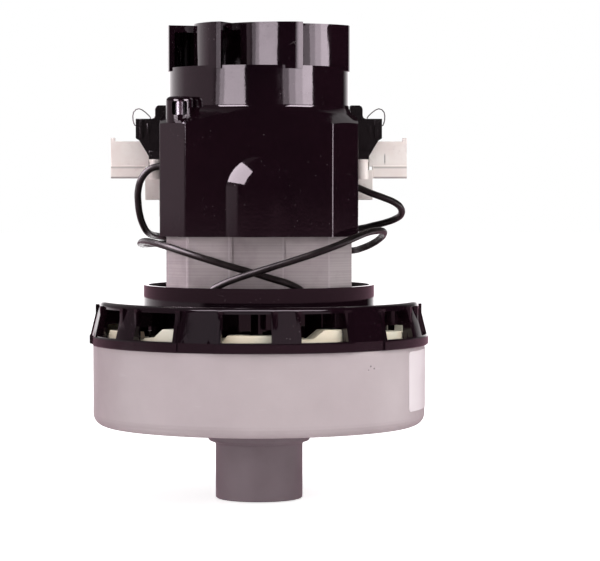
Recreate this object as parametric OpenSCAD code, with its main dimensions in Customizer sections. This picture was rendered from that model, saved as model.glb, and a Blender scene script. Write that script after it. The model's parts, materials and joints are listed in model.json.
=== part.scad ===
// Two-stage vacuum motor with a windowed discharge ring. The origin is the centre
// of the inlet tube's open end, +Z runs up the shaft, and the front faces -Y.

/* [Inlet tube] */
// Outer radius of the inlet tube
tube_r = 19.05; // [17:0.05:21]
// Wall of the inlet tube
tube_wall = 1.85; // [1.4:0.05:2.6]
// Length of the tube below the fan shell
tube_len = 32.5; // [22:0.5:60]
// Outer radius of the seat that carries the shell on the tube
shoulder_r = 22.4; // [21.6:0.1:28]
// Height of that seat
shoulder_h = 7.5; // [4:0.5:12]

/* [Fan shell] */
// Outer radius of the fan shell
shell_r = 72.4; // [71:0.1:76]
// Height of the shell up to the bracket's lip
shell_h = 35.2; // [34:0.2:42]
// Sheet thickness of the shell
shell_wall = 1.2; // [0.8:0.1:1.6]
// Radius of the shell's lower corner
shell_corner = 5; // [3:0.5:8]

/* [Discharge ring] */
// How far the lip stands out from the shell
lip_out = 1.6; // [1.2:0.1:3]
// Height of the lip
lip_h = 4.1; // [3:0.1:5]
// Height from the lip's lower edge to the deck
ring_h = 18.8; // [17:0.2:26]
// How far the ring wall leans in from the lip to the deck
ring_lean = 3; // [1:0.2:5]
// Wall of the discharge ring
ring_wall = 2; // [1.6:0.1:2.6]
// Angle that one discharge window spans
window_angle = 16.6; // [12:0.2:18]
// Angle of the narrow post inside a pair of windows
post_angle = 9.8; // [7:0.2:12]
// Pairs of windows round the ring
window_pairs = 6; // [4:1:6]
// Turn of the first narrow post from the front
post_turn = 9; // [0:1:30]
// Outer radius of the collar round the field stack
collar_r = 50.3; // [50.2:0.1:53]
// Height of the collar above the deck
collar_h = 7; // [4:0.5:9]

/* [Motor] */
// Half width of the field stack
stack_half_w = 39.6; // [39.2:0.05:40.8]
// Half depth of the field stack
stack_half_d = 37; // [36.6:0.05:37.4]
// Height of the field stack
stack_h = 30; // [26:0.5:40]
// Radius of the armature core
core_r = 21.3; // [19:0.1:21.6]
// Radius of the shaft
shaft_r = 4; // [3.5:0.1:4.5]
// Radius of the commutator
commutator_r = 14; // [12:0.1:15]
// Wall of the motor shroud
shroud_wall = 2.45; // [1.8:0.05:2.8]
// Height of the shroud from its skirt to the foot of the neck
shroud_h = 53.6; // [52:0.2:62]
// Radius of the shroud's neck
neck_r = 39.2; // [38:0.1:39.6]
// Height of the neck
neck_h = 17.5; // [15:0.1:26]
// Half width of the arched bulge on the shroud's faces
arch_half_w = 13; // [9:0.5:16]
// How far the bulge stands out of the face
arch_out = 6; // [4:0.5:7]

/* [Vent cap] */
// Largest radius of the vent cap
cap_r = 40.1; // [39.6:0.1:43]
// Height of the vent cap above the neck
cap_h = 19.7; // [14:0.1:26]
// Curved lobes round the cap
cap_lobes = 7; // [5:1:8]
// Radius where a lobe starts
lobe_start_r = 27; // [25:0.5:30]
// Wall of the cap
cap_wall = 2.4; // [1.4:0.1:2.8]

/* [Brush gear] */
// Width of a carbon brush
brush_w = 6.4; // [5:0.1:7]
// Height of a carbon brush
brush_t = 9.5; // [8:0.1:10.5]
// Distance from the shaft's axis to the outer end of a brush tube
tube_end_x = 64.4; // [62:0.1:70]
// Sheet thickness of a brush tube
sheet = 0.6; // [0.4:0.1:0.8]

/* [Leads] */
// Diameter of a lead over its insulation
lead_d = 3; // [2.2:0.1:3.2]

/* [Clearances] */
// Gap between parts that are assembled but don't move
seat_gap = 0.15; // [0.05:0.05:0.3]
// Radial gap of a running or pressed fit
fit_gap = 0.03; // [0.01:0.01:0.05]

/* [Hidden] */
$fn = 96;

// Heights that the parts share
z_shell = tube_len;
z_lip = z_shell + shell_h;
z_deck = z_lip + ring_h;
z_collar = z_deck + collar_h;
z_floor = z_lip + 5.3;
floor_t = 2.5;
z_stack = z_deck + 3.5;
z_stack_top = z_stack + stack_h;
skirt_lap = 5;
z_skirt = z_stack_top - skirt_lap;
z_neck = z_skirt + shroud_h;
z_neck_top = z_neck + neck_h;
z_cap_top = z_neck_top + cap_h;
z_brush = z_stack_top + 30.4;

// Bearings, an 8 mm bore class
bearing_r = 11;
bearing_h = 7;
ball_r = 1.9;
ball_count = 7;
race_r = 7.5;
z_lower_bearing = z_floor + 3;
z_upper_bearing = z_brush + 13;

// Step under the shell that takes the tube's seat
seat_step = 0.3;

// Inside of the shell and the ring
shell_in = shell_r - shell_wall;
rim_lap = 3;
lip_r = shell_r + lip_out;
ring_foot_r = lip_r - 1;
ring_top_r = ring_foot_r - ring_lean;
deck_t = 2;
collar_wall = 2;
collar_in = collar_r - collar_wall;
window_sill = 0.3;
window_top = 2.7;
pair_pitch = 360 / window_pairs;
rib_angle = 1;
duct_swirl = 8;

// Cream guide ring under the bracket's floor
z_guide_ring = z_lip + 3.2;
ramp_out = ring_foot_r - 5.4;
ramp_in = ramp_out - 8;
ramp_top = z_guide_ring + 6;
screw_circle_r = 42;
guide_screw_r = 1.5;

// Field stack outline, a rectangle with bevelled corners
stack_face_x = 30;
stack_face_y = 25.5;
bolt_x = 33.6;
bolt_y = 27.6;
bolt_r = 2;
bolt_head_r = 3.2;
bolt_head_h = 7;
lug_r = 5.95;
lug_round = 2;
lug_floor = z_neck - 2.4;
lug_top = z_neck + 5.9;
air_gap = 0.7;
coil_in = core_r + air_gap + 3;
coil_out = coil_in + 9;
coil_rise = 10;

// Impellers and what holds them on the shaft
disc_t = 1.2;
impeller_r = shell_in - 5.2;
eye_r = 22;
vane_h = 7.2;
vane_t = 1;
impeller_vanes = 7;
hub_r = 7;
z_first = z_shell + shell_wall + 3.3;
impeller_h = 2 * disc_t + vane_h;
z_second = z_first + impeller_h + 11.7;
z_guide = z_first + impeller_h + 1.6;
guide_h = 8.6;
washer_t = 1.2;
nut_h = 5.5;
nut_flats = 13;
shaft_end = z_first + disc_t + vane_h - washer_t - nut_h - 1.5;

// Commutator and brushes
commutator_h = 19;
z_commutator = z_brush - commutator_h / 2;
brush_gap = 0.3;
brush_len = 29.7;
brush_in = commutator_r + brush_gap;
brush_out = brush_in + brush_len;
brush_play = 0.1;
tube_w = brush_w + 2 * brush_play + 2 * sheet;
tube_t = brush_t + 2 * brush_play + 2 * sheet;
tube_start_x = commutator_r + 3.5;
insulator_w = 8;
flange_x = 49.6;
flange_out = 0.3;
post_x = stack_half_w + 2 * seat_gap + shroud_wall + 2.55;
shunt_r = 0.25;
spring_wire = 0.6;
spring_r = 2.6;
spring_turns = 8;

// Neck and vent fan
neck_in = neck_r - shroud_wall;
slope = 0.52;
fan_h = 12;
z_fan = z_neck + 5;
cap_roof = 3;
lobe_angle = 58;
lobe_turn = 27.7;
lobe_land = 5.5;
wall_start = 0.3;

// Routes of the two leads, from the brush gear to their sleeves inside the collar
left_route = [
    [-39, -16, 144.9], [-43, -16, 144.9], [-46.8, -16, 143.7], [-50.2, -15.6, 140.2],
    [-52, -14.2, 135], [-52.2, -11.5, 129.5], [-51.6, -7, 123.5], [-50.2, -0.5, 118.6],
    [-49, 7, 116.2], [-47.8, 15, 115], [-46.2, 23.5, 114.3], [-42.5, 32, 113.6],
    [-35.5, 38.7, 113.1], [-27, 41.8, 111.9], [-18, 41.8, 111.2], [-9, 41.5, 110.5],
    [0, 41.2, 109.8], [9, 41, 109], [18.3, 41.6, 108.3], [27.5, 40.8, 107.6],
    [35.8, 36.8, 107.2], [42.3, 29.5, 107.5], [46, 20.5, 108.8], [49.8, 12, 110.8],
    [52.8, 3.5, 113.2], [54.2, -5, 115.4], [53.5, -13.5, 116.9], [50.5, -22, 117.3],
    [46, -29.5, 116.6], [40.5, -36.5, 114.6], [33.5, -42, 111.7], [25, -45, 108.7],
    [16, -46, 105.7], [7, -46, 102.9], [-2.5, -45.5, 99.9], [-9.5, -44.8, 97.6],
    [-15.5, -43.5, 95.2], [-19.8, -42, 92.6], [-22.5, -40.3, 89.2],
    [-23.4, -39, 85], [-23.4, -39, 81.5]];
right_route = [
    [39, -9, 137.2], [43.5, -9, 135.5], [48.5, -9, 133.4], [54, -8.2, 131.4],
    [59, -5.5, 129.3], [62, -1, 126.8], [62.4, 4.5, 124], [60.3, 10.3, 122],
    [56.3, 15.8, 120.3], [51.3, 21.5, 118.9], [46.5, 28, 117.6], [41, 34.5, 116.8],
    [34, 40, 116.4], [26, 44.3, 116], [17.5, 47, 115.6], [8.5, 48.2, 115.2],
    [-0.5, 48.4, 114.7], [-9.5, 48, 114], [-18.5, 47, 113], [-27.5, 45.4, 111.8],
    [-36, 42.2, 110.8], [-43.5, 36.2, 110.5], [-48.5, 29, 110.5], [-51.3, 21, 110.5],
    [-52.2, 12.5, 110.9], [-51.8, 4, 111.6], [-50.5, -4.5, 112.3],
    [-48.5, -13, 112.6], [-45.5, -21.5, 112.3], [-41.3, -29.5, 111.4],
    [-36, -36.8, 110], [-29, -41.2, 107.8], [-20.5, -43, 105.2],
    [-12, -42.5, 102.6], [-3, -41.2, 100], [5.5, -40.8, 97.4], [13.5, -41.2, 94.8],
    [19, -41, 91.6], [22.5, -39.8, 88], [23.4, -39, 84.5], [23.4, -39, 81.5]];

black_gloss = [0.07, 0.055, 0.065];
metal = [0.87, 0.83, 0.83];

// Small helpers for directions and swept tubes
function unit(v) = v / norm(v);
function at_angle(r, turn) = [r * sin(turn), -r * cos(turn)];
function heading(p, i) = unit(p[min(i + 1, len(p) - 1)] - p[max(i - 1, 0)]);
function side_dirs(p) = [
    for (i = 0, u = unit(cross(heading(p, 0), [0.21, 0.34, 0.92])); i < len(p);
        i = i + 1, u = i < len(p) ? unit(u - (u * heading(p, i)) * heading(p, i)) : u) u];
function route_length(p) = norm([for (i = [1 : len(p) - 1]) sqrt(norm(p[i] - p[i - 1]))])
    ^ 2;

module swept_tube(p, r, sides) {
    dirs = side_dirs(p);
    points = [for (i = [0 : len(p) - 1]) for (k = [0 : sides - 1])
        p[i] + r * (cos(360 * k / sides) * dirs[i]
            + sin(360 * k / sides) * cross(heading(p, i), dirs[i]))];
    walls = [for (i = [0 : len(p) - 2]) for (k = [0 : sides - 1])
        let (a = i * sides + k, b = i * sides + (k + 1) % sides)
        each [[a, a + sides, b + sides], [a, b + sides, b]]];
    first_cap = [[for (k = [0 : sides - 1]) k]];
    last_cap = [[for (k = [sides - 1 : -1 : 0]) (len(p) - 1) * sides + k]];
    polyhedron(points, concat(walls, first_cap, last_cap));
}

// Ring of one height between two radii
module ring(r_in, r_out, z, h) {
    translate([0, 0, z]) difference() {
        cylinder(r = r_out, h = h);
        translate([0, 0, -1]) cylinder(r = r_in, h = h + 2);
    }
}

// Flat sector between two radii and two angles, measured from the front
module sector(r_in, r_out, from, to) {
    polygon([at_angle(r_in, from), at_angle(r_out, from), at_angle(r_out, to),
        at_angle(r_in, to)]);
}

// Convex outline with every corner rounded to radius c
module rounded_outline(corners, c) {
    n = len(corners);
    before = [for (i = [0 : n - 1]) unit(corners[(i + n - 1) % n] - corners[i])];
    after = [for (i = [0 : n - 1]) unit(corners[(i + 1) % n] - corners[i])];
    bend = [for (i = [0 : n - 1]) acos(-before[i] * after[i]) / 2];
    polygon([for (i = [0 : n - 1]) each [corners[i] + before[i] * c * tan(bend[i]),
        corners[i] + after[i] * c * tan(bend[i])]]);
    for (i = [0 : n - 1]) {
        translate(corners[i] + unit(before[i] + after[i]) * c / cos(bend[i])) circle(r = c);
    }
}

// Outline of the stack grown by d on every side, with corners of radius c
facet = unit([stack_half_d - stack_face_y, stack_half_w - stack_face_x]);
module stack_outline(d, c) {
    w = stack_half_w + d;
    h = stack_half_d + d;
    fx = stack_face_x + d * (1 - facet[1]) / facet[0];
    fy = stack_face_y + d * (1 - facet[0]) / facet[1];
    rounded_outline([[fx, -h], [w, -fy], [w, fy], [fx, h], [-fx, h], [-w, fy], [-w, -fy],
        [-fx, -h]], c);
}

// Both bolt corners, front left and rear right
module at_bolts() {
    for (s = [-1, 1]) {
        translate([s * bolt_x, s * bolt_y, 0]) children();
    }
}

module inlet_tube() {
    foot = z_shell - shoulder_h;
    ease = 1.6;
    color([0.46, 0.42, 0.43])
    rotate_extrude() {
        polygon(concat([[tube_r - tube_wall, 0], [tube_r - 0.5, 0], [tube_r, 0.5],
            [tube_r, foot - ease]],
            [for (a = [90 : -15 : 0]) [tube_r + ease - ease * sin(a),
                foot - ease + ease * cos(a)]],
            [for (a = [-75 : 15 : 0]) [shoulder_r - ease + ease * cos(a),
                foot + ease + ease * sin(a)]],
            [[shoulder_r, z_shell + seat_step], [tube_r, z_shell + seat_step],
            [tube_r, z_shell + shell_wall + 0.8], [tube_r - tube_wall,
                z_shell + shell_wall + 0.8]]));
    }
}

module fan_shell() {
    c = shell_corner;
    ci = max(c - shell_wall, 0.5);
    color([0.75, 0.70, 0.71])
    rotate_extrude() {
        polygon(concat([[tube_r + fit_gap, z_shell + seat_step],
            [shoulder_r + fit_gap, z_shell + seat_step], [shoulder_r + fit_gap, z_shell]],
            [for (a = [-90 : 15 : 0]) [shell_r - c + c * cos(a), z_shell + c + c * sin(a)]],
            [[shell_r, z_lip + rim_lap], [shell_in, z_lip + rim_lap]],
            [for (a = [0 : -15 : -90]) [shell_in - ci + ci * cos(a),
                z_shell + shell_wall + ci + ci * sin(a)]],
            [[tube_r + fit_gap, z_shell + shell_wall]]));
    }
}

// Plain plate on the shell's side
module shell_label() {
    label_h = 25.6;
    label_from = 61.5;
    label_span = 35;
    label_t = 0.25;
    color([0.96, 0.95, 0.95])
    translate([0, 0, z_lip - 1.7 - label_h]) rotate([0, 0, label_from - 90])
    rotate_extrude(angle = label_span) {
        translate([shell_r, 0]) square([label_t, label_h]);
    }
}

// One window pair lies on each side of a narrow post
function window_centres() = [for (i = [0 : window_pairs - 1]) for (s = [-1, 1])
    post_turn + i * pair_pitch + s * (post_angle + window_angle) / 2];

module ring_section() {
    in_foot = ring_foot_r - ring_wall - 0.1;
    in_top = ring_top_r - ring_wall;
    round = 2.5;
    polygon(concat([[shell_r + fit_gap, z_lip], [lip_r - 0.4, z_lip], [lip_r, z_lip + 0.4],
        [lip_r, z_lip + lip_h - 0.4], [lip_r - 0.4, z_lip + lip_h],
        [ring_foot_r, z_lip + lip_h], [ring_top_r, z_deck - round]],
        [for (a = [15 : 15 : 90]) [ring_top_r - round + round * cos(a),
            z_deck - round + round * sin(a)]],
        [[collar_r, z_deck], [collar_r, z_collar], [collar_in, z_collar],
        [collar_in, z_floor + floor_t], [bearing_r + 3, z_floor + floor_t],
        [bearing_r + 3, z_lower_bearing + bearing_h], [bearing_r + fit_gap,
            z_lower_bearing + bearing_h],
        [bearing_r + fit_gap, z_lower_bearing], [hub_r + 1.5, z_lower_bearing],
        [hub_r + 1.5, z_floor], [collar_r, z_floor], [collar_r, z_deck - deck_t],
        [in_top - 1, z_deck - deck_t], [in_top, z_deck - deck_t - 1],
        [in_foot, z_lip + rim_lap + 0.2], [shell_r + fit_gap, z_lip + rim_lap + 0.2]]));
}

// Thin wall beside a window, turned back towards the collar
module duct_wall(turn, from_r, to_r) {
    back = function (r) turn - duct_swirl * (ring_top_r - r) / (ring_top_r - collar_r);
    half = 0.85;
    polygon([at_angle(from_r, back(from_r) - half), at_angle(to_r, back(to_r) - half),
        at_angle(to_r, back(to_r) + half), at_angle(from_r, back(from_r) + half)]);
}

// Upright rib that follows the leaning wall
module rib_section() {
    out = 0.7;
    foot = z_lip + lip_h - 0.6;
    polygon([[ring_foot_r - 0.3, foot], [ring_foot_r + out, foot],
        [ring_top_r + out, z_deck - 3], [ring_top_r - 1, z_deck - 1.8]]);
}

// Windowed ring, deck, collar and lower bearing seat in one moulding
module fan_bracket() {
    sill = z_lip + lip_h + window_sill;
    wide = pair_pitch - post_angle - 2 * window_angle;
    color(black_gloss)
    difference() {
        union() {
            rotate_extrude() ring_section();
            for (i = [0 : window_pairs - 1]) {
                turn = post_turn + (i + 0.5) * pair_pitch;
                for (s = [-1, 1]) {
                    rotate([0, 0, turn + s * (wide / 2 - rib_angle) - 90 - rib_angle / 2])
                        rotate_extrude(angle = rib_angle) rib_section();
                }
            }
            for (w = window_centres()) {
                for (s = [-1, 1]) {
                    a = w + s * (window_angle / 2 + 0.8);
                    translate([0, 0, ramp_top + 0.3]) linear_extrude(z_deck - 1 - ramp_top - 0.3)
                        duct_wall(a, collar_r - 0.5, ring_top_r - 1);
                    translate([0, 0, z_guide_ring + 1.5])
                        linear_extrude(z_deck - 1 - z_guide_ring - 1.5)
                        duct_wall(a, collar_r - 0.5, ramp_in - 0.4);
                    translate([0, 0, z_lip + lip_h - 0.5]) linear_extrude(ring_h - lip_h - 1)
                        duct_wall(a, ramp_out + 0.5, ring_foot_r - ring_wall + 0.3);
                }
            }
            for (sx = [-1, 1]) {
                for (sy = [-1, 1]) {
                    translate([sx * bolt_x, sy * bolt_y, z_floor + 1])
                        cylinder(r = bolt_r + 2.2, h = z_stack - z_floor - 1);
                }
            }
        }
        for (w = window_centres()) {
            translate([0, 0, sill]) linear_extrude(ring_h - lip_h - window_sill - window_top)
                sector(ring_top_r - ring_wall - 2.5, lip_r + 3, w - window_angle / 2,
                    w + window_angle / 2);
        }
        at_bolts() translate([0, 0, z_floor + floor_t + 1]) cylinder(r = bolt_r + fit_gap, h = 30);
        at_diffuser_screws() translate([0, 0, z_floor - 1])
            cylinder(r = guide_screw_r + fit_gap, h = floor_t + 0.5);
        for (i = [0 : window_pairs - 1]) {
            turn = post_turn + (i + 0.5) * pair_pitch;
            translate([0, 0, z_lip - 1]) linear_extrude(lip_h + 1.02)
                sector(lip_r - 0.8, lip_r + 1, turn - wide / 2 + 2, turn + wide / 2 - 2);
        }
    }
}

// Cream guide ring whose ramps show in the windows
module discharge_diffuser() {
    rise = ramp_top - z_guide_ring;
    ramp_w = 2 * ramp_out * sin(window_angle / 2);
    centres = window_centres();
    color([0.89, 0.84, 0.73])
    difference() {
        union() {
            ring(hub_r + 1.5, collar_r - 0.5, z_guide_ring, z_floor - z_guide_ring);
            ring(collar_r - 2, ramp_out, z_guide_ring, disc_t);
            intersection() {
                ring(ramp_in, ramp_out, z_guide_ring, rise);
                for (k = [0 : len(centres) - 1]) {
                    low = rise * (k % 2 == 0 ? 0.65 : 0.35);
                    high = rise * (k % 2 == 0 ? 0.65 : 1);
                    rotate([0, 0, centres[k]]) translate([0, -ramp_in + 4, z_guide_ring])
                    rotate([90, 0, 0]) linear_extrude(ramp_out - ramp_in + 6)
                        polygon([[-ramp_w / 2 - 2, 0], [-ramp_w / 2 + 1.5, low],
                            [-ramp_w / 6, low + 0.2], [ramp_w / 12, high], [ramp_w / 2, high],
                            [ramp_w / 2 + 1.2, 0]]);
                }
            }
        }
        at_diffuser_screws() translate([0, 0, z_guide_ring - 1])
            cylinder(r = guide_screw_r + 0.05, h = 10);
    }
}

module at_diffuser_screws() {
    for (i = [0 : 2]) {
        rotate([0, 0, 30 + 120 * i]) translate([screw_circle_r, 0, 0]) children();
    }
}

// Screws that hold the guide ring under the bracket's floor
module diffuser_screws() {
    color(metal)
    at_diffuser_screws() {
        translate([0, 0, z_guide_ring - 1.1]) cylinder(r = 2.8, h = 1.1);
        translate([0, 0, z_guide_ring - 0.5])
            cylinder(r = guide_screw_r, h = z_floor - z_guide_ring + floor_t - 0.8);
    }
}

// Curved blade between two radii, swept back by an angle
module blade(r_in, r_out, sweep, t) {
    steps = 6;
    turn_in = t / r_in * 180 / PI;
    turn_out = t / r_out * 180 / PI;
    inner = [for (i = [0 : steps]) at_angle(r_in + (r_out - r_in) * i / steps,
        sweep * i / steps)];
    outer = [for (i = [steps : -1 : 0]) at_angle(r_in + (r_out - r_in) * i / steps,
        sweep * i / steps + turn_in + (turn_out - turn_in) * i / steps)];
    polygon(concat(inner, outer));
}

// Return guide between the two impellers, seated on the shell's wall
module stationary_fan() {
    color([0.8, 0.8, 0.78])
    union() {
        ring(hub_r + 1.5, impeller_r + 0.5, z_guide, disc_t);
        ring(eye_r - 1, shell_in - fit_gap, z_guide + guide_h - disc_t, disc_t);
        for (i = [0 : impeller_vanes - 1]) {
            rotate([0, 0, 360 * i / impeller_vanes]) translate([0, 0, z_guide + disc_t / 2])
                linear_extrude(guide_h - disc_t) blade(eye_r + 2, impeller_r - 1, -50, 1.6);
        }
    }
}

module field_stack() {
    color([0.62, 0.58, 0.59])
    translate([0, 0, z_stack]) difference() {
        linear_extrude(stack_h) stack_outline(0, 0.6);
        translate([0, 0, -1]) cylinder(r = core_r + air_gap, h = stack_h + 2);
        for (s = [0, 180]) {
            for (side = [-1, 1]) {
                rotate([0, 0, s + side * 64 - 12.5 - 90]) translate([0, 0, -1])
                    rotate_extrude(angle = 25)
                        translate([core_r, 0]) square([coil_out + 0.4 - core_r, stack_h + 2]);
            }
            rotate([0, 0, s]) translate([-11.4, -stack_half_d - 1, -1])
                cube([22.8, 1.8, stack_h + 2]);
        }
        at_bolts() translate([0, 0, -1]) cylinder(r = bolt_r + 0.2, h = stack_h + 2);
    }
}

// One coil runs up both sides of its pole and arches over both ends of the stack
module field_coil(turn) {
    span = 152;
    pole = 104;
    thick = coil_out - coil_in;
    color([0.55, 0.27, 0.13])
    rotate([0, 0, turn]) difference() {
        rotate([0, 0, -span / 2 - 90]) translate([0, 0, z_stack - coil_rise])
            rotate_extrude(angle = span)
                translate([coil_in, 0]) square([thick, stack_h + 2 * coil_rise]);
        rotate([0, 0, -pole / 2 - 90]) translate([0, 0, z_stack - 0.4])
            rotate_extrude(angle = pole)
                translate([coil_in - 2, 0]) square([thick + 4, stack_h + 0.8]);
    }
}

// Height of the sloped shoulder at a radius
function shoulder_z(r) = z_neck - slope * (r - neck_r);

module shroud_section(d) {
    blend = 2.6;
    edge = 62;
    lift = d * sqrt(1 + slope * slope);
    polygon(concat([[0, z_skirt - 1], [edge, z_skirt - 1], [edge, shoulder_z(edge) - lift]],
        [[neck_r - d + blend, z_neck - slope * (blend - d) - lift]],
        [for (a = [60 : -20 : 0]) [neck_r - d + blend * (1 - cos(a)) * 0.8,
            z_neck - lift + slope * d + blend * (1 - sin(a)) * 0.9]],
        [[neck_r - d, z_neck_top + 1], [0, z_neck_top + 1]]));
}

// Cylinder with a round top that bulges out of a flat face
module arch_bulge(grow) {
    r = (arch_half_w * arch_half_w + arch_out * arch_out) / (2 * arch_out);
    face = stack_half_d + seat_gap * 2 + shroud_wall;
    y = face + arch_out - r;
    z = z_skirt + 20.6;
    for (s = [-1, 1]) {
        translate([0, s * y, z_skirt - 1]) cylinder(r = r + grow, h = z - z_skirt + 1);
        translate([0, s * y, z]) sphere(r = r + grow);
    }
}

// Room for a brush insulator in the shroud's side
module insulator_pocket() {
    for (s = [-1, 1]) {
        scale([s, 1, 1]) translate([neck_r + 0.3, -insulator_w - seat_gap, z_brush - 7.2])
            cube([20, 2 * (insulator_w + seat_gap), z_neck - z_brush + 12]);
    }
}

module motor_shroud() {
    skin = seat_gap * 2 + shroud_wall;
    color(black_gloss)
    difference() {
        union() {
            difference() {
                union() {
                    intersection() {
                        translate([0, 0, z_skirt]) linear_extrude(z_neck_top - z_skirt)
                            stack_outline(skin, 1.4);
                        rotate_extrude() shroud_section(0);
                    }
                    intersection() {
                        arch_bulge(0);
                        translate([-2 * arch_half_w, -shell_r, z_skirt])
                            cube([4 * arch_half_w, 2 * shell_r, shroud_h]);
                    }
                }
                intersection() {
                    translate([0, 0, z_skirt - 1]) linear_extrude(z_neck_top - z_skirt + 3)
                        stack_outline(seat_gap * 2, 0.6);
                    rotate_extrude() shroud_section(shroud_wall);
                }
                arch_bulge(-shroud_wall);
            }
            at_bolts() {
                rotate_extrude() polygon(concat([[0, lug_floor - 6], [lug_r, lug_floor - 6]],
                    [for (a = [0 : 18 : 90]) [lug_r - lug_round + lug_round * cos(a),
                        lug_top - lug_round + lug_round * sin(a)]], [[0, lug_top]]));
                translate([0, 0, z_stack_top]) cylinder(r = bolt_r + 2.2, h = lug_floor - z_stack_top);
            }
            ring(bearing_r + fit_gap, bearing_r + 3, z_upper_bearing - 1, bearing_h + 1);
            intersection() {
                translate([0, 0, z_upper_bearing - 1]) linear_extrude(2.4)
                    stack_outline(seat_gap * 2 + 0.5, 1);
                rotate_extrude() shroud_section(shroud_wall - 0.5);
                ring(bearing_r - 2.5, 60, z_upper_bearing - 2, 5);
            }
        }
        insulator_pocket();
        at_bolts() {
            translate([0, 0, z_stack_top - 1]) cylinder(r = bolt_r + 0.2, h = z_cap_top - z_stack_top);
            translate([0, 0, lug_floor]) cylinder(r = bolt_head_r + 0.5, h = 30);
        }
        for (s = [-1, 1]) {
            translate([s * bolt_x, s * (bolt_y + lug_r) + 4.5, 0]) rotate([90, 0, 0])
                linear_extrude(9) rounded_outline([[-bolt_head_r, lug_floor + 0.4],
                    [bolt_head_r, lug_floor + 0.4], [bolt_head_r, lug_top - lug_round],
                    [-bolt_head_r, lug_top - lug_round]], 0.9);
        }
        translate([0, 0, z_upper_bearing]) cylinder(r = bearing_r + fit_gap, h = 60);
        for (i = [0 : 5]) {
            rotate([0, 0, 60 * i]) translate([25.5, 0, z_upper_bearing - 2])
                cylinder(r = 6.5, h = 6);
        }
        translate([left_route[0][0], left_route[0][1], left_route[0][2]])
            rotate([0, -90, 0]) cylinder(r = lead_d / 2 + 0.3, h = 12, center = true);
        translate((right_route[0] + right_route[1]) / 2)
            rotate([0, 90, 0]) cylinder(r = lead_d / 2 + 1.2, h = 12, center = true);
    }
}

// One lobe follows a spiral out to a short land on the cap's largest circle
function lobe_r(t) = lobe_start_r + (cap_r - lobe_start_r) * min(t, 1);
function lobe_line(from, to, inset, steps) = [for (i = [0 : steps])
    let (t = from + (to - from) * i / steps)
    at_angle(lobe_r(t) - inset, lobe_turn - lobe_angle + (lobe_angle - lobe_land) * t)];

module cap_lobe_wall() {
    land = [for (i = [1 : 2]) at_angle(cap_r, lobe_turn - lobe_land + lobe_land * i / 2)];
    land_in = [for (i = [2 : -1 : 1]) at_angle(cap_r - cap_wall,
        lobe_turn - lobe_land + lobe_land * i / 2)];
    back = lobe_line(wall_start, 1, cap_wall, 10);
    polygon(concat(lobe_line(wall_start, 1, 0, 10), land, land_in,
        [for (i = [len(back) - 1 : -1 : 0]) back[i]]));
}

module cap_outline() {
    start = (lobe_angle - 360 / cap_lobes) / (lobe_angle - lobe_land);
    polygon([for (k = [0 : cap_lobes - 1]) each [for (p = concat(lobe_line(start, 1, 0, 10),
        [for (i = [1 : 2]) at_angle(cap_r, lobe_turn - lobe_land + lobe_land * i / 2)]))
        let (a = 360 * k / cap_lobes)
        [p[0] * cos(a) - p[1] * sin(a), p[0] * sin(a) + p[1] * cos(a)]]]);
}

// Pinwheel of curved walls under a closed roof, each with an open mouth
module vent_cap() {
    color(black_gloss)
    union() {
        translate([0, 0, z_cap_top - cap_roof]) linear_extrude(cap_roof) cap_outline();
        for (k = [0 : cap_lobes - 1]) {
            rotate([0, 0, 360 * k / cap_lobes]) translate([0, 0, z_neck_top])
                linear_extrude(cap_h - cap_roof / 2) cap_lobe_wall();
        }
        ring(neck_in - seat_gap - 2.4, neck_r, z_neck_top, 1.4);
        ring(neck_in - seat_gap - 2.2, neck_in - seat_gap, z_neck_top - 5, 5.7);
    }
}

// Bolts from the shroud's lugs through the stack into the bracket
module through_bolts() {
    shank = lug_floor - z_floor - floor_t - 2;
    color(metal)
    at_bolts() difference() {
        union() {
            translate([0, 0, lug_floor - shank]) cylinder(r = bolt_r, h = shank + 1);
            translate([0, 0, lug_floor]) cylinder(r = bolt_head_r, h = bolt_head_h);
        }
        translate([0, 0, lug_floor + bolt_head_h - 2]) cylinder(r = 1.7, h = 3, $fn = 6);
    }
}

module brush_tube(side) {
    color(metal)
    scale([side, 1, 1]) difference() {
        union() {
            translate([tube_start_x, -tube_w / 2, z_brush - tube_t / 2])
                cube([tube_end_x - tube_start_x, tube_w, tube_t]);
            for (y = [-tube_w / 2 - flange_out, tube_w / 2 + flange_out - 0.8]) {
                translate([flange_x, y, z_brush - tube_t / 2 - 5.2])
                    cube([tube_end_x - flange_x, 0.8, 5.6]);
            }
            translate([tube_end_x - 1.6, -tube_w / 2, z_brush + tube_t / 2 - 1])
                cube([1.6, tube_w, 2.5]);
        }
        translate([tube_start_x - 1, -tube_w / 2 + sheet, z_brush - tube_t / 2 + sheet])
            cube([tube_end_x - tube_start_x + 1 - 0.8, tube_w - 2 * sheet, tube_t - 2 * sheet]);
    }
}

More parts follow.
